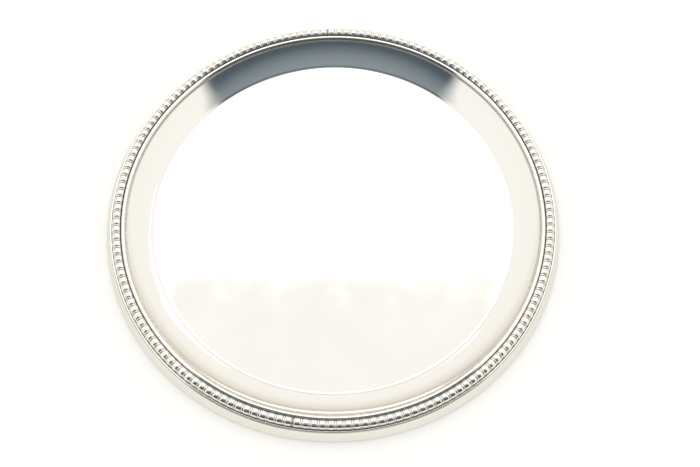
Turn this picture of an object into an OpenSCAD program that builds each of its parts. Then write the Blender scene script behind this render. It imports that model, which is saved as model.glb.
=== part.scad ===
// Round coin tray: a pan pressed from one sheet, with a flat floor and a
// hollow-curved wall; a struck gadroon border with a bead on either side,
// soldered on its rim; and a plain apron that flares down from the border.
// Millimetres, +Z up. The origin is the centre of the floor's underside,
// which is what the tray stands on, and -Y is the near side.

/* [Pan] */
// Diameter of the flat floor
floor_d = 160.4; // [130:0.1:240]
// Thickness of the pan's sheet
sheet_t = 1.0; // [0.7:0.05:1.3]
// Radius of the small cove between the floor and the wall
cove_r = 2.2; // [1.6:0.1:3]
// Slope at which the cove ends, in degrees
cove_angle = 40; // [25:1:50]
// Horizontal run of the wall
wall_run = 10.3; // [8:0.1:16]
// Slope of the wall at its foot, in degrees
wall_foot_angle = 17; // [12:1:22]
// Slope of the wall at its top, in degrees
wall_top_angle = 41; // [35:1:50]
// Width of the bare ledge between the wall and the inner bead
ledge_w = 0.5; // [0.3:0.1:1.5]

/* [Beads] */
// Width of the half-round wire inside the gadroons
inner_bead_w = 2.1; // [1.5:0.1:3]
// Width of the half-round wire outside the gadroons
outer_bead_w = 0.9; // [0.6:0.05:1.4]

/* [Gadroon strip] */
// Width of the struck strip from foot to foot
strip_w = 3.85; // [3.4:0.05:4.2]
// Radius of the strip's rounded section
strip_r = 2.3; // [2.2:0.05:2.6]
// Height of the strip's crest above the ledge
strip_h = 1.75; // [1.6:0.05:2.1]
// Thickness of the strip's metal
strip_t = 0.5; // [0.4:0.05:0.6]
// Number of pads round the whole border
pad_count = 170; // [120:1:180]
// Width of the narrow rib between two pads
rib_w = 0.45; // [0.3:0.05:0.6]
// Width of each fine groove beside a rib
groove_w = 0.4; // [0.3:0.05:0.5]
// Depth of the grooves
groove_depth = 0.25; // [0.15:0.05:0.3]
// Direction of the far joint between the strip's two lengths, in degrees
far_joint_angle = 91.5; // [80:0.5:100]
// Direction of the near joint, in degrees
near_joint_angle = 259.5; // [250:0.5:280]
// Length of solder that closes each joint
joint_w = 0.3; // [0.2:0.05:0.5]

/* [Apron] */
// Thickness of the apron's sheet
apron_t = 0.8; // [0.6:0.05:1]
// How far the apron's lip laps under the pan's flange
lap_w = 2.7; // [2:0.1:3]
// How far the apron's foot stands out beyond its top
apron_flare = 2.25; // [1:0.05:3]
// Radius of the rolled hem along the apron's foot
hem_r = 0.6; // [0.45:0.05:0.7]
// Height of the hem above what the tray stands on
hem_lift = 0.4; // [0.2:0.1:1]
// Leg of the solder fillet along the apron's lip
fillet_leg = 0.7; // [0.4:0.05:0.8]

/* [Fits] */
// Film of solder between parts that are soldered side by side
solder_gap = 0.04; // [0.03:0.01:0.08]
// Room between the flange's edge and the inside of the strip
flange_room = 0.3; // [0.2:0.05:0.5]

/* [Hidden] */
$fn = 96;
arc_steps = 12;
past = 1; // how far a cut reaches past the surface that it opens

// The pan's wall is an arc about wall_c, above a cove about cove_c
floor_r = floor_d / 2;
cove_c = [floor_r, sheet_t + cove_r];
cove_end = on_arc(cove_c, cove_r, cove_angle);
wall_r = wall_run / (sin(wall_top_angle) - sin(wall_foot_angle));
wall_c = cove_end + wall_r * [-sin(wall_foot_angle), cos(wall_foot_angle)];
wall_end = on_arc(wall_c, wall_r, wall_top_angle);
seat_z = wall_end[1];
lip_z = seat_z - sheet_t;
under_angle = acos((wall_c[1] - lip_z) / (wall_r + sheet_t));

// Radii across the border, from the wall outwards
bead_in_r = wall_end[0] + ledge_w;
strip_in_r = bead_in_r + inner_bead_w + solder_gap;
strip_out_r = strip_in_r + strip_w;
flange_out_r = strip_out_r - strip_t - flange_room;
outer_bead_in_r = strip_out_r + solder_gap;
apron_top_r = outer_bead_in_r + outer_bead_w;
apron_foot_r = apron_top_r + apron_flare;
lip_in_r = flange_out_r - lap_w;

// The strip's section is part of a circle about strip_c
strip_c = [strip_out_r - strip_r, seat_z + strip_h - strip_r];
crest_r = strip_c[0];
joint_a = degrees_for(joint_w);
left_span = near_joint_angle - far_joint_angle;
left_pads = round(pad_count * left_span / 360);
right_pads = pad_count - left_pads;

// The apron's wall slants straight from its top to the middle of its hem
hem_c = [apron_foot_r - hem_r, hem_lift + hem_r];
apron_slope = (hem_c[0] + apron_t / 2 - apron_top_r) / (lip_z - hem_c[1]);

// Angle that a length takes up along the strip's crest
function degrees_for(length) = length / crest_r * 180 / PI;

// Point of a hollow arc about c where the slope is a
function on_arc(c, r, a) = c + r * [sin(a), -cos(a)];

// Points of a hollow arc about c, from slope a0 to slope a1
function arc(c, r, a0, a1) =
    [for (i = [0:arc_steps]) on_arc(c, r, a0 + (a1 - a0) * i / arc_steps)];

// Half-round wire section with its flat side at height z
module half_round(in_r, width, z) {
    middle = [in_r + width / 2, z];
    polygon([
        for (i = [0:arc_steps])
            let (a = 180 * i / arc_steps) middle + width / 2 * [cos(a), sin(a)]
    ]);
}

// Solid of revolution of a section, from direction a0 round to direction a1
module sector(a0, a1) {
    rotate([0, 0, a0]) rotate_extrude(angle = a1 - a0) children();
}

// Everything above the flange, and beyond its edge above the apron's lip
module above_seat() {
    translate([strip_in_r, seat_z]) square([strip_w, strip_h + past]);
    translate([flange_out_r, lip_z]) square([strip_out_r - flange_out_r, strip_h + past]);
}

// Rounded outline of the border, shrunk by inset on its curve and by side on its inner face
module border_outline(inset, side) {
    intersection() {
        translate(strip_c) circle(r = strip_r - inset);
        translate([strip_in_r + side, lip_z]) square([strip_w, strip_h + sheet_t + past]);
    }
}

// Section of the struck strip: a hollow shell that is open below
module strip_section(inset = 0) {
    intersection() {
        difference() {
            border_outline(inset, 0);
            border_outline(strip_t, strip_t);
        }
        above_seat();
    }
}

// One groove, cut to an even depth over the strip's curve
module groove(a) {
    half = degrees_for(groove_w) / 2;
    sector(a - half, a + half) difference() {
        border_outline(-past, -past);
        border_outline(groove_depth, -2 * past);
    }
}

// One length of strip with its pads, each between two halves of a rib
module strip_length(a0, a1, pads) {
    pitch = (a1 - a0) / pads;
    groove_mid = degrees_for(rib_w + groove_w) / 2;
    color("#e6e1d6") difference() {
        sector(a0, a1) strip_section();
        for (i = [0:pads - 1]) {
            groove(a0 + i * pitch + groove_mid);
            groove(a0 + (i + 1) * pitch - groove_mid);
        }
    }
}

// Floor, wall and flange, pressed from one sheet
module tray_pan() {
    top = concat(
        [[0, sheet_t]],
        arc(cove_c, cove_r, 0, cove_angle),
        arc(wall_c, wall_r, wall_foot_angle, wall_top_angle),
        [[flange_out_r, seat_z]]
    );
    under = concat(
        [[flange_out_r, lip_z]],
        arc(wall_c, wall_r + sheet_t, under_angle, wall_foot_angle),
        arc(cove_c, cove_r + sheet_t, wall_foot_angle, 0),
        [[0, 0]]
    );
    color("#e9e6df") rotate_extrude() polygon(concat(top, under));
}

// Half-round wire that edges the gadroons on the inside
module inner_bead() {
    color("#e9e4da") rotate_extrude() half_round(bead_in_r, inner_bead_w, seat_z);
}

// Shorter length of the struck strip, on the left side
module gadroon_strip_left() {
    strip_length(far_joint_angle + joint_a / 2, near_joint_angle - joint_a / 2, left_pads);
}

// Longer length of the struck strip, on the right side
module gadroon_strip_right() {
    strip_length(near_joint_angle + joint_a / 2, far_joint_angle + 360 - joint_a / 2, right_pads);
}

// Soft solder run into the hollow back of the strip
module strip_filling() {
    color("#8f8b84") rotate_extrude() intersection() {
        border_outline(strip_t + solder_gap, strip_t + solder_gap);
        above_seat();
    }
}

// Solder that closes the two joints between the lengths of strip
module joint_solder() {
    color("#b3aea3") for (a = [far_joint_angle, near_joint_angle])
        sector(a - joint_a / 2, a + joint_a / 2) strip_section(groove_depth);
}

// Fine half-round wire that edges the gadroons on the outside
module outer_bead() {
    color("#e9e4da") rotate_extrude() half_round(outer_bead_in_r, outer_bead_w, lip_z);
}

// Plain band below the border, with a lip at its top and a hem at its foot
module apron() {
    color("#d8d3c8") union() {
        rotate_extrude() polygon([
            [lip_in_r, lip_z],
            [apron_top_r, lip_z],
            hem_c + [apron_t / 2, 0],
            hem_c - [apron_t / 2, 0],
            [apron_top_r - apron_t * (1 - apron_slope), lip_z - apron_t],
            [lip_in_r, lip_z - apron_t]
        ]);
        rotate_extrude() translate(hem_c) circle(r = hem_r);
    }
}

// Fillet of solder between the apron's lip and the flange above it
module apron_solder() {
    color("#8f8b84") rotate_extrude() polygon([
        [lip_in_r, lip_z],
        [lip_in_r - fillet_leg, lip_z],
        [lip_in_r, lip_z - fillet_leg]
    ]);
}

tray_pan();
inner_bead();
gadroon_strip_left();
gadroon_strip_right();
strip_filling();
joint_solder();
outer_bead();
apron();
apron_solder();
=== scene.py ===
"""Dresses the coin tray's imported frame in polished, lightly worn silver plate.

The pan, the beads and the apron are sections spun about the tray's axis. The gadroon strips are
spun in fine steps and then struck into pads and ribs. Their sizes follow the frame, and the stage
is a pale table in a soft bright room.
"""

import math

import bmesh
import bpy
from bpy.props import (
    FloatProperty,
    FloatVectorProperty,
    IntProperty,
    PointerProperty,
    StringProperty,
)
from bpy.types import NodeSocket, Operator, Panel, PropertyGroup
from mathutils import Matrix, Vector, noise


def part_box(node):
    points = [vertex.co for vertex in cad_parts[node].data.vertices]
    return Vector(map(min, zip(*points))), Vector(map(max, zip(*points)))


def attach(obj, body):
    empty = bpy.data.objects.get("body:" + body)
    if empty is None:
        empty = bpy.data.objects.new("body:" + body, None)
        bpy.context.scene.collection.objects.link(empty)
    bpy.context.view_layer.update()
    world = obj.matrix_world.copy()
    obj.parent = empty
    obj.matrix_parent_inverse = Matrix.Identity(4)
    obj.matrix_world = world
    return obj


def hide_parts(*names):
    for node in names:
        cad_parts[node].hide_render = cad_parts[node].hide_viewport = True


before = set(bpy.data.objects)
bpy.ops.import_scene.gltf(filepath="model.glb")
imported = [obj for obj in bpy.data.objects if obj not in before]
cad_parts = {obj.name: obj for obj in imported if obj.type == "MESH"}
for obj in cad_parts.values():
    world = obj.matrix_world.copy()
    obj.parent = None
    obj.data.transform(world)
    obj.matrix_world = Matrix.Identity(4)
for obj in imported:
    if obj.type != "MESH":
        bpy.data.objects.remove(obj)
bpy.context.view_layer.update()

bl_info = {
    "name": "Coin tray",
    "version": (1, 0, 0),
    "blender": (4, 5, 0),
    "location": "3D View > Sidebar > Coin tray",
    "description": "Silver-plated coin tray with a gadroon border, made around its packed frame",
    "category": "Object",
}

MM = 0.001
TURN = 2 * math.pi
BODY = "root"

# The photograph's frame, which the camera's focal length and aim are measured in
PHOTO_WIDTH_PX = 700
SENSOR_MM = 36.0

# Sizes that the frame gives: each is a corner of a node's box
PAN_LOW, PAN_HIGH = (Vector(corner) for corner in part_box("tray_pan"))
BEAD_LOW, BEAD_HIGH = (Vector(corner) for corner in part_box("inner_bead"))
STRIP_LOW, STRIP_HIGH = (Vector(corner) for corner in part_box("gadroon_strip_right"))
WIRE_LOW, WIRE_HIGH = (Vector(corner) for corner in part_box("outer_bead"))
APRON_LOW, APRON_HIGH = (Vector(corner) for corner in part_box("apron"))


def linear(code):
    """Linear colour with alpha from an sRGB hex value such as "#8a8074"."""
    channels = [int(code[i : i + 2], 16) / 255 for i in (1, 3, 5)]
    return [c / 12.92 if c <= 0.04045 else ((c + 0.055) / 1.055) ** 2.4 for c in channels] + [1.0]


def smooth_step(low, high, value):
    """0 below low, 1 above high and a smooth rise between them."""
    share = min(1.0, max(0.0, (value - low) / (high - low)))
    return share * share * (3 - 2 * share)


class PanSizes(PropertyGroup):
    floor_radius: FloatProperty(
        name="Floor radius", description="Radius of the flat floor",
        default=80.2 * MM, unit="LENGTH",
    )
    sheet: FloatProperty(
        name="Sheet", description="Thickness of the pan's sheet",
        default=1.0 * MM, unit="LENGTH",
    )
    cove_radius: FloatProperty(
        name="Cove radius", description="Radius of the cove between the floor and the wall",
        default=2.2 * MM, unit="LENGTH",
    )
    cove_slope: FloatProperty(
        name="Cove slope", description="Slope at which the cove ends",
        default=math.radians(40), subtype="ANGLE",
    )
    foot_slope: FloatProperty(
        name="Foot slope", description="Slope of the wall at its foot",
        default=math.radians(17), subtype="ANGLE",
    )
    top_slope: FloatProperty(
        name="Top slope", description="Slope of the wall at its top",
        default=math.radians(41), subtype="ANGLE",
    )
    ledge: FloatProperty(
        name="Ledge", description="Width of the bare ledge inside the border",
        default=0.5 * MM, unit="LENGTH",
    )
    unevenness: FloatProperty(
        name="Unevenness", description="Height of the slow waves that hand finishing left",
        default=0.035 * MM, unit="LENGTH",
    )


class BorderSizes(PropertyGroup):
    pads: IntProperty(
        name="Pads", description="Number of pads round the whole border", default=170,
    )
    rib: FloatProperty(
        name="Rib", description="Width of the narrow rib between two pads",
        default=0.45 * MM, unit="LENGTH",
    )
    groove: FloatProperty(
        name="Groove", description="Width of the fine groove beside a rib",
        default=0.42 * MM, unit="LENGTH",
    )
    groove_depth: FloatProperty(
        name="Groove depth", description="Depth of the grooves",
        default=0.36 * MM, unit="LENGTH",
    )
    strip_width: FloatProperty(
        name="Strip width", description="Width of the strip from foot to foot",
        default=3.85 * MM, unit="LENGTH",
    )
    inner_reach: FloatProperty(
        name="Inner reach", description="Distance from the strip's inner side to its crest",
        default=2.15 * MM, unit="LENGTH",
    )
    inner_drop: FloatProperty(
        name="Inner drop", description="Fall from the crest to the strip's inner edge",
        default=0.85 * MM, unit="LENGTH",
    )
    far_joint: FloatProperty(
        name="Far joint", description="Direction of the far joint in the strip",
        default=math.radians(91.5), subtype="ANGLE",
    )
    near_joint: FloatProperty(
        name="Near joint", description="Direction of the near joint in the strip",
        default=math.radians(259.5), subtype="ANGLE",
    )
    joint: FloatProperty(
        name="Joint", description="Length of solder that closes each joint",
        default=0.3 * MM, unit="LENGTH",
    )


class ApronSizes(PropertyGroup):
    sheet: FloatProperty(
        name="Sheet", description="Thickness of the apron's sheet",
        default=0.8 * MM, unit="LENGTH",
    )
    lip: FloatProperty(
        name="Lip", description="Width of the lip under the pan's flange",
        default=4.45 * MM, unit="LENGTH",
    )
    hem_radius: FloatProperty(
        name="Hem radius", description="Radius of the rolled hem along the apron's foot",
        default=0.6 * MM, unit="LENGTH",
    )


class PlateFinish(PropertyGroup):
    silver: StringProperty(
        name="Silver", description="Colour of the polished plate, as an sRGB hex value",
        default="#faf7f0",
    )
    # Brown-grey of the painted shade that darkens creases and recesses
    crease_shade: StringProperty(
        name="Tarnish", description="Colour of the sulphide film left in recesses",
        default="#7d7162",
    )
    solder: StringProperty(
        name="Solder", description="Colour of dull soft solder", default="#9c9a95",
    )
    polish: FloatProperty(
        name="Polish", description="Roughness where the plate is best polished", default=0.045,
    )
    wear: FloatProperty(
        name="Wear", description="Roughness where wiping has dulled the plate", default=0.11,
    )


class StudioSettings(PropertyGroup):
    distance: FloatProperty(
        name="Distance", description="From the middle of the floor to the camera",
        default=546.2 * MM, unit="LENGTH",
    )
    elevation: FloatProperty(
        name="Elevation", description="Height of the camera above the table, as an angle",
        default=math.radians(64.99), subtype="ANGLE",
    )
    roll: FloatProperty(
        name="Roll", description="Tilt of the camera about its own line of sight",
        default=math.radians(-0.30), subtype="ANGLE",
    )
    focal_px: FloatProperty(
        name="Focal length", description="Focal length in pixels of the photograph",
        default=1212.2,
    )
    aim_px: FloatVectorProperty(
        name="Aim", description="Where the middle of the floor lies from the picture's centre",
        default=(-16.1, -12.7), size=2,
    )
    table: StringProperty(
        name="Table", description="Colour of the table top", default="#f3f1ec",
    )


class StageSizes(PropertyGroup):
    table_radius: FloatProperty(
        name="Table radius", description="Radius of the table top", default=1.5, unit="LENGTH",
    )
    table_drop: FloatProperty(
        name="Table drop", description="Room left between the floor's underside and the table",
        default=0.1 * MM, unit="LENGTH",
    )
    lamp_width: FloatProperty(
        name="Lamp width", description="Width of the soft box", default=0.9, unit="LENGTH",
    )
    lamp_depth: FloatProperty(
        name="Lamp depth", description="Depth of the soft box", default=0.6, unit="LENGTH",
    )
    lamp_place: FloatVectorProperty(
        name="Lamp place", description="Middle of the soft box", default=(0.1, 0.75, 1.1),
        size=3, subtype="TRANSLATION", unit="LENGTH",
    )
    lamp_tilt: FloatProperty(
        name="Lamp tilt", description="Tilt of the soft box towards the tray",
        default=math.radians(-34), subtype="ANGLE",
    )
    lamp_power: FloatProperty(
        name="Lamp power", description="Power of the soft box in watts", default=1.6,
    )


class CoinTraySettings(PropertyGroup):
    pan: PointerProperty(type=PanSizes)
    border: PointerProperty(type=BorderSizes)
    apron: PointerProperty(type=ApronSizes)
    finish: PointerProperty(type=PlateFinish)
    studio: PointerProperty(type=StudioSettings)
    stage: PointerProperty(type=StageSizes)


# Length of the slow waves that hand finishing left in the pan
WAVE_LENGTH = 28 * MM

# Room between the flange and the strip, across and above the outer bead's seat
FLANGE_ROOM = 0.3 * MM

# Two mesh points closer than this are one
MERGE = 0.0001 * MM

# How far the whole rim is from a true circle: lobes round the rim, size, and direction of a lobe
OUT_OF_ROUND = (
    (2, 0.22 * MM, math.radians(35)),
    (3, 0.14 * MM, math.radians(80)),
    (5, 0.07 * MM, math.radians(12)),
)


def out_of_round(angle):
    """How far the rim stands out from a true circle in one direction."""
    return sum(size * math.cos(lobes * (angle - at)) for lobes, size, at in OUT_OF_ROUND)


def own_waver(angle, piece, pitch):
    """Slow waver of one piece, between -1 and 1, about pitch radians long."""
    reach = 1 / pitch
    return noise.noise((reach * math.cos(angle), reach * math.sin(angle), 7.3 * piece))


def waver(bm, piece, sideways, upwards, pitch=math.radians(16)):
    """Gives spun work the slight waver of a hand-finished rim; each piece has its own."""
    for vert in bm.verts:
        radius = math.hypot(vert.co.x, vert.co.y)
        hold = smooth_step(0.6 * PAN_HIGH.x, 0.95 * PAN_HIGH.x, radius)
        if hold == 0:
            continue
        angle = math.atan2(vert.co.y, vert.co.x)
        out = out_of_round(angle) + sideways * own_waver(angle, piece, pitch)
        stretch = 1 + hold * out / radius
        vert.co.x *= stretch
        vert.co.y *= stretch
        vert.co.z += hold * upwards * own_waver(angle, piece + 0.5, pitch)


def arc(centre, radius, start, end, steps):
    """Points of a circular arc in a section, as slopes measured from its lowest point."""
    slopes = [start + (end - start) * i / steps for i in range(steps + 1)]
    return [
        (centre[0] + radius * math.sin(slope), centre[1] - radius * math.cos(slope))
        for slope in slopes
    ]


def spun(section, steps, start=0.0, span=TURN, closed=True):
    """Mesh made by turning a section of (radius, height) points about the tray's axis."""
    bm = bmesh.new()
    verts = [
        bm.verts.new((radius * math.cos(start), radius * math.sin(start), height))
        for radius, height in section
    ]
    pairs = list(zip(verts, verts[1:]))
    if closed:
        pairs.append((verts[-1], verts[0]))
    edges = [bm.edges.new(pair) for pair in pairs]
    whole = math.isclose(span, TURN)
    bmesh.ops.spin(
        bm, geom=verts + edges, cent=(0, 0, 0), axis=(0, 0, 1),
        angle=span, steps=steps, use_merge=whole, use_duplicate=False,
    )
    bmesh.ops.remove_doubles(bm, verts=bm.verts, dist=MERGE)
    if not whole:
        bmesh.ops.holes_fill(bm, edges=[edge for edge in bm.edges if edge.is_boundary])
    bmesh.ops.recalc_face_normals(bm, faces=bm.faces)
    return bm


def paint_crease_shade(bm, share):
    """Keeps on each vertex how much painted shade lies there, from 0 to 1, for the plate to read.
    """
    layer = bm.verts.layers.float.new("crease_shade")
    for vert in bm.verts:
        vert[layer] = share(vert)


def piece_from(bm, name, material, nodes, levels=0):
    """Turns a bmesh into a finished piece that stands for CAD nodes and rides on the tray."""
    mesh = bpy.data.meshes.new(name)
    bm.to_mesh(mesh)
    bm.free()
    mesh.shade_smooth()
    mesh.materials.append(material)
    piece = bpy.data.objects.new(name, mesh)
    bpy.context.scene.collection.objects.link(piece)
    if levels:
        finer = piece.modifiers.new("finer", "SUBSURF")
        finer.levels = finer.render_levels = levels
    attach(piece, BODY)
    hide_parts(*nodes)
    return piece


def add(tree, kind, inputs=(), **settings):
    """Adds a node with its settings, and fills or links its inputs."""
    node = tree.nodes.new(kind)
    for name, value in settings.items():
        setattr(node, name, value)
    for key, value in dict(inputs).items():
        if isinstance(value, NodeSocket):
            tree.links.new(value, node.inputs[key])
        else:
            node.inputs[key].default_value = value
    return node


def set_ramp(node, stops, interpolation="LINEAR"):
    """Fills a colour ramp with (place, hex colour) stops."""
    ramp = node.color_ramp
    ramp.interpolation = interpolation
    while len(ramp.elements) < len(stops):
        ramp.elements.new(0.5)
    for element, (place, code) in zip(ramp.elements, stops):
        element.position = place
        element.color = linear(code)


def new_material(name):
    """Empty node material with its output node."""
    material = bpy.data.materials.new(name)
    material.use_nodes = True
    material.node_tree.nodes.clear()
    return material, material.node_tree, add(material.node_tree, "ShaderNodeOutputMaterial")


def silver_plate():
    """Silver plate over nickel silver, buffed to a mirror and then wiped for years.

    It reflects sharply with an ivory cast. Wiping has dulled it in soft smears, fine hairlines
    cross it, and a brown-grey painted shade darkens its creases and recesses.
    """
    made = bpy.data.materials.get("silver_plate_buffed")
    if made:
        return made
    finish = bpy.context.scene.coin_tray.finish
    material, tree, output = new_material("silver_plate_buffed")
    place = add(tree, "ShaderNodeTexCoord").outputs["Object"]
    # How much painted shade each vertex holds, as kept on the mesh
    crease_share = add(tree, "ShaderNodeAttribute", attribute_name="crease_shade").outputs["Fac"]

    # Smears about 20 mm across, where wiping has dulled the polish
    smear = add(tree, "ShaderNodeTexNoise", {"Vector": place, "Scale": 50.0, "Detail": 3.0})
    dulled = add(
        tree, "ShaderNodeMapRange",
        {
            "Value": smear.outputs["Fac"], "From Min": 0.35, "From Max": 0.7,
            "To Min": finish.polish, "To Max": finish.wear,
        },
        interpolation_type="SMOOTHSTEP",
    )

    # Painted brown-grey shade in creases and recesses, broken up at about 1 mm, so that its edge
    # isn't ruled
    blotch = add(tree, "ShaderNodeTexNoise", {"Vector": place, "Scale": 900.0, "Detail": 2.0})
    broken = add(
        tree, "ShaderNodeMapRange",
        {"Value": blotch.outputs["Fac"], "From Min": 0.3, "From Max": 0.7, "To Min": 0.75},
    )
    painted_shade = add(
        tree, "ShaderNodeMath", {0: crease_share, 1: broken.outputs["Result"]}, operation="MULTIPLY",
    )
    # Silver darkened to brown-grey where the painted shade lies
    colour = add(
        tree, "ShaderNodeMix",
        {0: painted_shade.outputs[0], 6: linear(finish.silver), 7: linear(finish.crease_shade)},
        data_type="RGBA",
    )
    roughness = add(
        tree, "ShaderNodeMath",
        {0: painted_shade.outputs[0], 1: 0.3, 2: dulled.outputs["Result"]},
        operation="MULTIPLY_ADD",
    )

    # Hairlines about 0.3 mm apart, drawn coarser than real ones so that they show
    turned = add(
        tree, "ShaderNodeMapping",
        {"Vector": place, "Rotation": (0, 0, math.radians(28)), "Scale": (1.0, 0.03, 1.0)},
    )
    hairs = add(
        tree, "ShaderNodeTexNoise",
        {"Vector": turned.outputs[0], "Scale": 2600.0, "Detail": 1.0},
    )
    bump = add(
        tree, "ShaderNodeBump",
        {"Height": hairs.outputs["Fac"], "Strength": 0.12, "Distance": 0.004 * MM},
    )
    plate = add(
        tree, "ShaderNodeBsdfPrincipled",
        {
            "Base Color": colour.outputs[2], "Metallic": 1.0,
            "Roughness": roughness.outputs[0], "Normal": bump.outputs[0],
        },
    )
    tree.links.new(plate.outputs[0], output.inputs["Surface"])
    return material


def soft_solder():
    """Lead-tin solder as it froze: a dull grey skin with shallow ripples."""
    made = bpy.data.materials.get("soft_solder_frozen")
    if made:
        return made
    finish = bpy.context.scene.coin_tray.finish
    material, tree, output = new_material("soft_solder_frozen")
    place = add(tree, "ShaderNodeTexCoord").outputs["Object"]
    ripple = add(tree, "ShaderNodeTexNoise", {"Vector": place, "Scale": 700.0, "Detail": 4.0})
    shade = add(tree, "ShaderNodeValToRGB", {"Fac": ripple.outputs["Fac"]})
    set_ramp(shade, ((0.3, "#6f6d68"), (0.7, finish.solder)))
    bump = add(
        tree, "ShaderNodeBump",
        {"Height": ripple.outputs["Fac"], "Strength": 0.5, "Distance": 0.1 * MM},
    )
    metal = add(
        tree, "ShaderNodeBsdfPrincipled",
        {
            "Base Color": shade.outputs[0], "Metallic": 1.0, "Roughness": 0.42,
            "Normal": bump.outputs[0],
        },
    )
    tree.links.new(metal.outputs[0], output.inputs["Surface"])
    return material


def pan_sections(pan):
    """Key points of the pan's section: centres of its cove and wall, and the wall's radius."""
    cove = (pan.floor_radius, pan.sheet + pan.cove_radius)
    cove_end = arc(cove, pan.cove_radius, 0, pan.cove_slope, 1)[-1]
    bead_width = 2 * (BEAD_HIGH.z - BEAD_LOW.z)
    wall_top = BEAD_HIGH.x - bead_width - pan.ledge
    run = wall_top - cove_end[0]
    radius = run / (math.sin(pan.top_slope) - math.sin(pan.foot_slope))
    wall = (
        cove_end[0] - radius * math.sin(pan.foot_slope),
        cove_end[1] + radius * math.cos(pan.foot_slope),
    )
    return cove, wall, radius


class COINTRAY_OT_pan(Operator):
    """Spin the pan: floor, cove, hollow wall, ledge and flange"""

    bl_idname = "cointray.pan"
    bl_label = "Pan"

    def execute(self, context):
        pan = context.scene.coin_tray.pan
        cove, wall, radius = pan_sections(pan)
        # Rings lie closer together towards the floor's edge, where the eye rests
        rings, crowding = 16, 0.8
        top = [(pan.floor_radius * (i / rings) ** crowding, pan.sheet) for i in range(rings)]
        top += arc(cove, pan.cove_radius, 0, pan.cove_slope, 10)
        top += arc(wall, radius, pan.foot_slope, pan.top_slope, 24)[1:]
        edge = [(PAN_HIGH.x, PAN_HIGH.z), (PAN_HIGH.x, PAN_HIGH.z - pan.sheet)]
        under_slope = math.acos(
            (wall[1] - PAN_HIGH.z + pan.sheet) / (radius + pan.sheet)
        )
        under = arc(wall, radius + pan.sheet, under_slope, pan.foot_slope, 12)
        under += arc(cove, pan.cove_radius + pan.sheet, pan.foot_slope, 0, 4)
        under += [(pan.floor_radius / 2, 0.0), (0.0, 0.0)]
        bm = spun(top + edge + under, 360, closed=False)
        for vert in bm.verts:
            spread = vert.co.xy.length
            held = smooth_step(0, 0.2 * pan.floor_radius, spread)
            held *= 1 - smooth_step(0.95 * PAN_HIGH.x, PAN_HIGH.x, spread)
            if vert.co.z > 0.5 * pan.sheet:
                wave = noise.noise(Vector((vert.co.x, vert.co.y, 0)) / WAVE_LENGTH)
                vert.co.z += held * pan.unevenness * wave
        waver(bm, 1, 0.10 * MM, 0.05 * MM)
        # Painted shade along the ledge and the flange that the border sits on
        ledge_z = PAN_HIGH.z - 0.05 * MM
        paint_crease_shade(
            bm,
            lambda vert: 0.7 * smooth_step(-0.2 * MM, 0.0, vert.co.z - ledge_z),
        )
        piece_from(bm, "pan", silver_plate(), ["tray_pan"])
        return {"FINISHED"}


def half_round(low, high, steps=14):
    """Section of a half-round wire, from the box of its CAD node."""
    radius = high.z - low.z
    middle = (high.x - radius, low.z)
    return arc(middle, radius, math.radians(90), math.radians(270), steps)


def wire_foot_shade(low, high):
    """Painted shade that gathers along both feet of a half-round wire."""
    return lambda vert: 0.8 * (1 - smooth_step(0.1, 0.55, (vert.co.z - low.z) / (high.z - low.z)))


class COINTRAY_OT_inner_bead(Operator):
    """Spin the half-round wire inside the gadroons"""

    bl_idname = "cointray.inner_bead"
    bl_label = "Inner bead"

    def execute(self, context):
        bm = spun(half_round(BEAD_LOW, BEAD_HIGH), 360)
        paint_crease_shade(bm, wire_foot_shade(BEAD_LOW, BEAD_HIGH))
        waver(bm, 2, 0.10 * MM, 0.06 * MM)
        piece_from(bm, "inner_bead_wire", silver_plate(), ["inner_bead"])
        return {"FINISHED"}


class COINTRAY_OT_outer_bead(Operator):
    """Spin the fine half-round wire outside the gadroons"""

    bl_idname = "cointray.outer_bead"
    bl_label = "Outer bead"

    def execute(self, context):
        bm = spun(half_round(WIRE_LOW, WIRE_HIGH, 10), 360)
        paint_crease_shade(bm, wire_foot_shade(WIRE_LOW, WIRE_HIGH))
        waver(bm, 4, 0.10 * MM, 0.06 * MM, math.radians(9))
        piece_from(bm, "outer_bead_wire", silver_plate(), ["outer_bead"])
        return {"FINISHED"}


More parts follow.
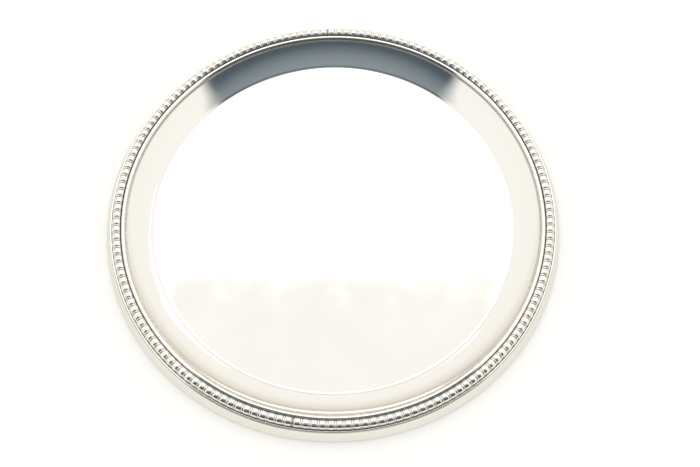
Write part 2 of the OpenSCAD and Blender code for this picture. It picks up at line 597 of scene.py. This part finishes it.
class StripShape:
    """Section of the struck strip and the relief that is struck into it."""

    def __init__(self, border):
        self.border = border
        self.crest = (STRIP_HIGH.x - border.strip_width + border.inner_reach, STRIP_HIGH.z)
        self.inner = (border.inner_reach, border.inner_drop)
        outer_reach = STRIP_HIGH.x - self.crest[0]
        self.outer = (outer_reach, STRIP_HIGH.z - WIRE_LOW.z - FLANGE_ROOM)
        self.pitch = TURN * self.crest[0] / border.pads

    def curve(self, slope):
        """Point and outward normal where the rounded top has this slope parameter, -90 to 90."""
        reach, drop = self.inner if slope < 0 else self.outer
        side = math.sin(math.radians(slope))
        up = math.cos(math.radians(slope))
        point = (self.crest[0] + reach * side, self.crest[1] - drop * (1 - up))
        return point, Vector((side / reach, up / drop)).normalized()

    def rows(self):
        """Section points with their normals and the share of relief that each row takes."""
        in_r = self.crest[0] - self.inner[0]
        out_r = STRIP_HIGH.x
        level = Vector((0, 1))
        rows = [((in_r, PAN_HIGH.z), level, 0.0)]
        shares = ((-90, 0.15), (-66, 1.1), (-38, 1.0), (-8, 1.0), (22, 1.0), (48, 1.0), (72, 0.8))
        rows += [(*self.curve(slope), share) for slope, share in shares]
        rows.append((*self.curve(90), 0.1))
        rows.append(((out_r, WIRE_LOW.z), level, 0.0))
        clear_r = PAN_HIGH.x + FLANGE_ROOM
        rows.append(((clear_r, WIRE_LOW.z), level, 0.0))
        rows.append(((clear_r, PAN_HIGH.z), level, 0.0))
        return rows

    def columns(self):
        """Places across one repeat, from 0 to 1, and how deep the relief is at each."""
        half_rib = self.border.rib / 2
        groove = self.border.groove
        pad_edge = half_rib + groove
        half = [
            (0.0, 0.30),
            (0.85 * half_rib, 0.42),
            (half_rib + groove / 2, 1.0),
            (pad_edge, 0.30),
            (pad_edge + 0.35 * MM, 0.06),
            (self.pitch / 2, 0.0),
        ]
        places = [(place / self.pitch, depth) for place, depth in half]
        return places + [(1 - place, depth) for place, depth in reversed(places[1:-1])]


def strip_length(border, start, end, pads):
    """Spins one length of strip and strikes its pads and ribs."""
    shape = StripShape(border)
    rows, columns = shape.rows(), shape.columns()
    steps = pads * len(columns)
    bm = spun([point for point, _, _ in rows], steps, start, end - start)
    layer = bm.verts.layers.float.new("crease_shade")
    for vert in bm.verts:
        radius = vert.co.xy.length
        point, normal, share = min(
            rows, key=lambda row: (row[0][0] - radius) ** 2 + (row[0][1] - vert.co.z) ** 2
        )
        angle = (math.atan2(vert.co.y, vert.co.x) - start + 0.001) % TURN - 0.001
        step = round(angle / (end - start) * steps)
        place, depth = columns[step % len(columns)]
        whole = step // len(columns)
        turned = start + (whole + place) * (end - start) / pads
        in_end = share > 1 and depth < 1
        sink = border.groove_depth * (depth * share + (0.25 if in_end else 0.0))
        radius = point[0] - normal[0] * sink
        vert.co = (
            radius * math.cos(turned), radius * math.sin(turned), point[1] - normal[1] * sink,
        )
        # Painted shade in the grooves between pads, along the strip's feet and on its underside
        vert[layer] = max(0.9 if share < 0.5 else 0.0, smooth_step(0.4, 1.0, depth) * 0.85)
    waver(bm, 3, 0.10 * MM, 0.05 * MM)
    return bm


class COINTRAY_OT_gadroons(Operator):
    """Spin and strike both lengths of the gadroon strip"""

    bl_idname = "cointray.gadroons"
    bl_label = "Gadroon strip"

    def execute(self, context):
        border = context.scene.coin_tray.border
        half_joint = border.joint / STRIP_HIGH.x / 2
        left_span = border.near_joint - border.far_joint
        left_pads = round(border.pads * left_span / TURN)
        left = strip_length(
            border, border.far_joint + half_joint, border.near_joint - half_joint, left_pads,
        )
        right = strip_length(
            border, border.near_joint + half_joint, border.far_joint + TURN - half_joint,
            border.pads - left_pads,
        )
        for bm, side in ((left, "left"), (right, "right")):
            piece_from(
                bm, f"gadroons_{side}", silver_plate(), [f"gadroon_strip_{side}"], 1,
            )
        return {"FINISHED"}


class COINTRAY_OT_solder(Operator):
    """Finish the solder: the strip's joints, its filling and the apron's fillet"""

    bl_idname = "cointray.solder"
    bl_label = "Solder"

    def execute(self, context):
        border = context.scene.coin_tray.border
        shape = StripShape(border)
        sunk = 0.45 * border.groove_depth
        section = [
            (point[0] - normal[0] * sunk, point[1] - normal[1] * sunk)
            for point, normal, _ in shape.rows()
        ]
        span = border.joint / STRIP_HIGH.x
        joints = bmesh.new()
        for place in (border.far_joint, border.near_joint):
            plug = spun(section, 2, place - span / 2, span)
            mesh = bpy.data.meshes.new("plug")
            plug.to_mesh(mesh)
            plug.free()
            joints.from_mesh(mesh)
            bpy.data.meshes.remove(mesh)
        waver(joints, 3, 0.10 * MM, 0.05 * MM)
        piece_from(joints, "joint_plugs", soft_solder(), ["joint_solder"])
        for node in ("strip_filling", "apron_solder"):
            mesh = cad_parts[node].data
            mesh.materials.clear()
            mesh.materials.append(soft_solder())
        return {"FINISHED"}


class COINTRAY_OT_apron(Operator):
    """Spin the apron: its lip, its flaring wall and its rolled hem"""

    bl_idname = "cointray.apron"
    bl_label = "Apron"

    def execute(self, context):
        apron = context.scene.coin_tray.apron
        hem = (APRON_HIGH.x - apron.hem_radius, APRON_LOW.z + apron.hem_radius)
        top = (WIRE_HIGH.x, APRON_HIGH.z)
        lip_in = WIRE_HIGH.x - apron.lip
        half = apron.sheet / 2
        lean = math.asin(half / apron.hem_radius)
        bend = 0.25 * MM
        section = [
            (lip_in, top[1]),
            (top[0] - bend, top[1]),
            (top[0] - 0.3 * bend, top[1] - 0.1 * bend),
            (top[0] + 0.1 * bend, top[1] - 0.5 * bend),
        ]
        wall_steps = 8
        low = (hem[0] + half, hem[1] + apron.hem_radius * math.cos(lean))
        high = section[-1]
        section += [
            (
                high[0] + (low[0] - high[0]) * i / wall_steps,
                high[1] + (low[1] - high[1]) * i / wall_steps,
            )
            for i in range(1, wall_steps)
        ]
        section += arc(hem, apron.hem_radius, math.pi - lean, lean - math.pi, 16)
        section += [
            (top[0] - apron.sheet + 0.1 * MM, top[1] - apron.sheet - 0.15 * MM),
            (top[0] - apron.sheet - 0.15 * MM, top[1] - apron.sheet),
            (lip_in, top[1] - apron.sheet),
        ]
        bm = spun(section, 360)
        # Painted shade along the apron's top, in the crease under the outer bead
        paint_crease_shade(
            bm,
            lambda vert: 0.8 * smooth_step(-0.7 * MM, 0.0, vert.co.z - top[1]),
        )
        waver(bm, 5, 0.12 * MM, 0.05 * MM)
        piece_from(bm, "apron_band", silver_plate(), ["apron"])
        return {"FINISHED"}


def table_top(studio):
    """Matt white card, which keeps the tray's soft shadow and fades to plain white."""
    material, tree, output = new_material("matt_white_card")
    place = add(tree, "ShaderNodeTexCoord").outputs["Object"]
    grain = add(tree, "ShaderNodeTexNoise", {"Vector": place, "Scale": 400.0, "Detail": 3.0})
    bump = add(
        tree, "ShaderNodeBump",
        {"Height": grain.outputs["Fac"], "Strength": 0.1, "Distance": 0.05 * MM},
    )
    card = add(
        tree, "ShaderNodeBsdfDiffuse",
        {"Color": linear(studio.table), "Normal": bump.outputs[0]},
    )
    seen = add(tree, "ShaderNodeLightPath").outputs["Is Camera Ray"]
    lift = add(tree, "ShaderNodeMath", {0: seen, 1: 0.14}, operation="MULTIPLY")
    glow = add(tree, "ShaderNodeEmission", {"Strength": lift.outputs[0]})
    both = add(tree, "ShaderNodeAddShader", {0: card.outputs[0], 1: glow.outputs[0]})
    tree.links.new(both.outputs[0], output.inputs["Surface"])
    return material


def room(world):
    """Bright room seen by the plate: white all round, with a dim side behind the camera."""
    world.use_nodes = True
    tree = world.node_tree
    tree.nodes.clear()
    way = add(tree, "ShaderNodeSeparateXYZ", {0: add(tree, "ShaderNodeTexCoord").outputs[0]})
    x, y, z = (way.outputs[i] for i in range(3))

    # The dim side widens from overhead towards -Y; its edge is where |x| + spread * y is constant
    from_middle = add(tree, "ShaderNodeMath", {0: x, 1: 0.015}, operation="SUBTRACT")
    aside = add(tree, "ShaderNodeMath", {0: from_middle.outputs[0]}, operation="ABSOLUTE")
    edge = add(
        tree, "ShaderNodeMath", {0: y, 1: 0.8, 2: aside.outputs[0]}, operation="MULTIPLY_ADD",
    )
    within = add(
        tree, "ShaderNodeMapRange",
        {"Value": edge.outputs[0], "From Min": 0.41, "From Max": 0.30},
        interpolation_type="SMOOTHSTEP",
    )
    behind = add(
        tree, "ShaderNodeMapRange",
        {"Value": y, "From Min": 0.13, "From Max": 0.03},
        interpolation_type="SMOOTHSTEP",
    )
    dim = add(
        tree, "ShaderNodeMath",
        {0: within.outputs["Result"], 1: behind.outputs["Result"]}, operation="MULTIPLY",
    )

    # Colours by height above the horizon, which is where z is 0
    height = add(
        tree, "ShaderNodeMapRange", {"Value": z, "From Min": -0.2, "From Max": 1.0},
    )
    dim_side = add(tree, "ShaderNodeValToRGB", {"Fac": height.outputs["Result"]})
    set_ramp(
        dim_side,
        (
            (0.0, "#8b8070"), (0.2, "#5e5346"), (0.45, "#5a5148"), (0.62, "#454b51"),
            (0.8, "#55616d"), (1.0, "#8b969d"),
        ),
    )
    bright_side = add(tree, "ShaderNodeValToRGB", {"Fac": height.outputs["Result"]})
    set_ramp(
        bright_side,
        ((0.0, "#b9b0a2"), (0.17, "#c9c2b6"), (0.3, "#ece8e0"), (0.5, "#fcfbf8"), (1.0, "#ffffff")),
    )
    seen = add(
        tree, "ShaderNodeMix",
        {0: dim.outputs[0], 6: bright_side.outputs[0], 7: dim_side.outputs[0]},
        data_type="RGBA",
    )
    rays = add(tree, "ShaderNodeLightPath")
    reflected = add(
        tree, "ShaderNodeMix",
        {0: rays.outputs["Is Glossy Ray"], 6: (1.0, 1.0, 1.0, 1.0), 7: seen.outputs[2]},
        data_type="RGBA",
    )
    sky = add(tree, "ShaderNodeBackground", {"Color": reflected.outputs[2]})
    output = add(tree, "ShaderNodeOutputWorld")
    tree.links.new(sky.outputs[0], output.inputs["Surface"])


def place_camera(studio, sheet):
    """Camera at the photograph's viewing angle, aimed a little off the middle of the floor."""
    data = bpy.data.cameras.new("camera")
    data.sensor_width = SENSOR_MM
    data.lens = SENSOR_MM * studio.focal_px / PHOTO_WIDTH_PX
    data.clip_start = 0.01
    camera = bpy.data.objects.new("camera", data)
    bpy.context.scene.collection.objects.link(camera)
    raised = (math.cos(studio.elevation), math.sin(studio.elevation))
    right = Vector((1, 0, 0))
    up = Vector((0, raised[1], raised[0]))
    ahead = Vector((0, raised[0], -raised[1]))
    yaw = math.atan2(studio.aim_px[0], studio.focal_px)
    pitch = math.atan2(-studio.aim_px[1], studio.focal_px)
    right, ahead = (
        right * math.cos(yaw) + ahead * math.sin(yaw),
        ahead * math.cos(yaw) - right * math.sin(yaw),
    )
    up, ahead = (
        up * math.cos(pitch) + ahead * math.sin(pitch),
        ahead * math.cos(pitch) - up * math.sin(pitch),
    )
    right, up = (
        right * math.cos(studio.roll) + up * math.sin(studio.roll),
        up * math.cos(studio.roll) - right * math.sin(studio.roll),
    )
    eye = Vector((0, -raised[0], raised[1])) * studio.distance + Vector((0, 0, sheet))
    turn = Matrix((right, up, -ahead)).transposed().to_4x4()
    camera.matrix_world = Matrix.Translation(eye) @ turn
    bpy.context.scene.camera = camera


class COINTRAY_OT_stage(Operator):
    """Set the table, the room's light and the camera"""

    bl_idname = "cointray.stage"
    bl_label = "Stage"

    def execute(self, context):
        settings = context.scene.coin_tray
        studio, stage = settings.studio, settings.stage
        bm = bmesh.new()
        bmesh.ops.create_circle(bm, cap_ends=True, radius=stage.table_radius, segments=64)
        mesh = bpy.data.meshes.new("table")
        bm.to_mesh(mesh)
        bm.free()
        mesh.transform(Matrix.Translation((0, 0, -stage.table_drop)))
        mesh.materials.append(table_top(studio))
        table = bpy.data.objects.new("table", mesh)
        context.scene.collection.objects.link(table)
        world = bpy.data.worlds.new("room")
        context.scene.world = world
        room(world)
        lamp = bpy.data.lights.new("soft_box", "AREA")
        lamp.shape = "RECTANGLE"
        lamp.size, lamp.size_y = stage.lamp_width, stage.lamp_depth
        lamp.energy = stage.lamp_power
        box = bpy.data.objects.new("soft_box", lamp)
        context.scene.collection.objects.link(box)
        box.matrix_world = (
            Matrix.Translation(stage.lamp_place) @ Matrix.Rotation(stage.lamp_tilt, 4, "X")
        )
        place_camera(studio, settings.pan.sheet)
        context.scene.view_settings.view_transform = "Standard"
        return {"FINISHED"}


class COINTRAY_PT_panel(Panel):
    """Lists what makes the coin tray, in order"""

    bl_idname = "COINTRAY_PT_panel"
    bl_label = "Coin tray"
    bl_space_type = "VIEW_3D"
    bl_region_type = "UI"
    bl_category = "Coin tray"

    def draw(self, context):
        for maker in MAKERS:
            self.layout.operator(maker.bl_idname)


MAKERS = (
    COINTRAY_OT_pan,
    COINTRAY_OT_inner_bead,
    COINTRAY_OT_gadroons,
    COINTRAY_OT_outer_bead,
    COINTRAY_OT_apron,
    COINTRAY_OT_solder,
    COINTRAY_OT_stage,
)
GROUPS = (
    PanSizes, BorderSizes, ApronSizes, PlateFinish, StudioSettings, StageSizes, CoinTraySettings,
)
CLASSES = GROUPS + MAKERS + (COINTRAY_PT_panel,)


def register():
    for cls in CLASSES:
        bpy.utils.register_class(cls)
    bpy.types.Scene.coin_tray = PointerProperty(type=CoinTraySettings)


def unregister():
    del bpy.types.Scene.coin_tray
    for cls in reversed(CLASSES):
        bpy.utils.unregister_class(cls)


def main():
    register()
    bpy.ops.cointray.pan()
    bpy.ops.cointray.inner_bead()
    bpy.ops.cointray.gadroons()
    bpy.ops.cointray.outer_bead()
    bpy.ops.cointray.apron()
    bpy.ops.cointray.solder()
    bpy.ops.cointray.stage()


if __name__ == "__main__":
    main()
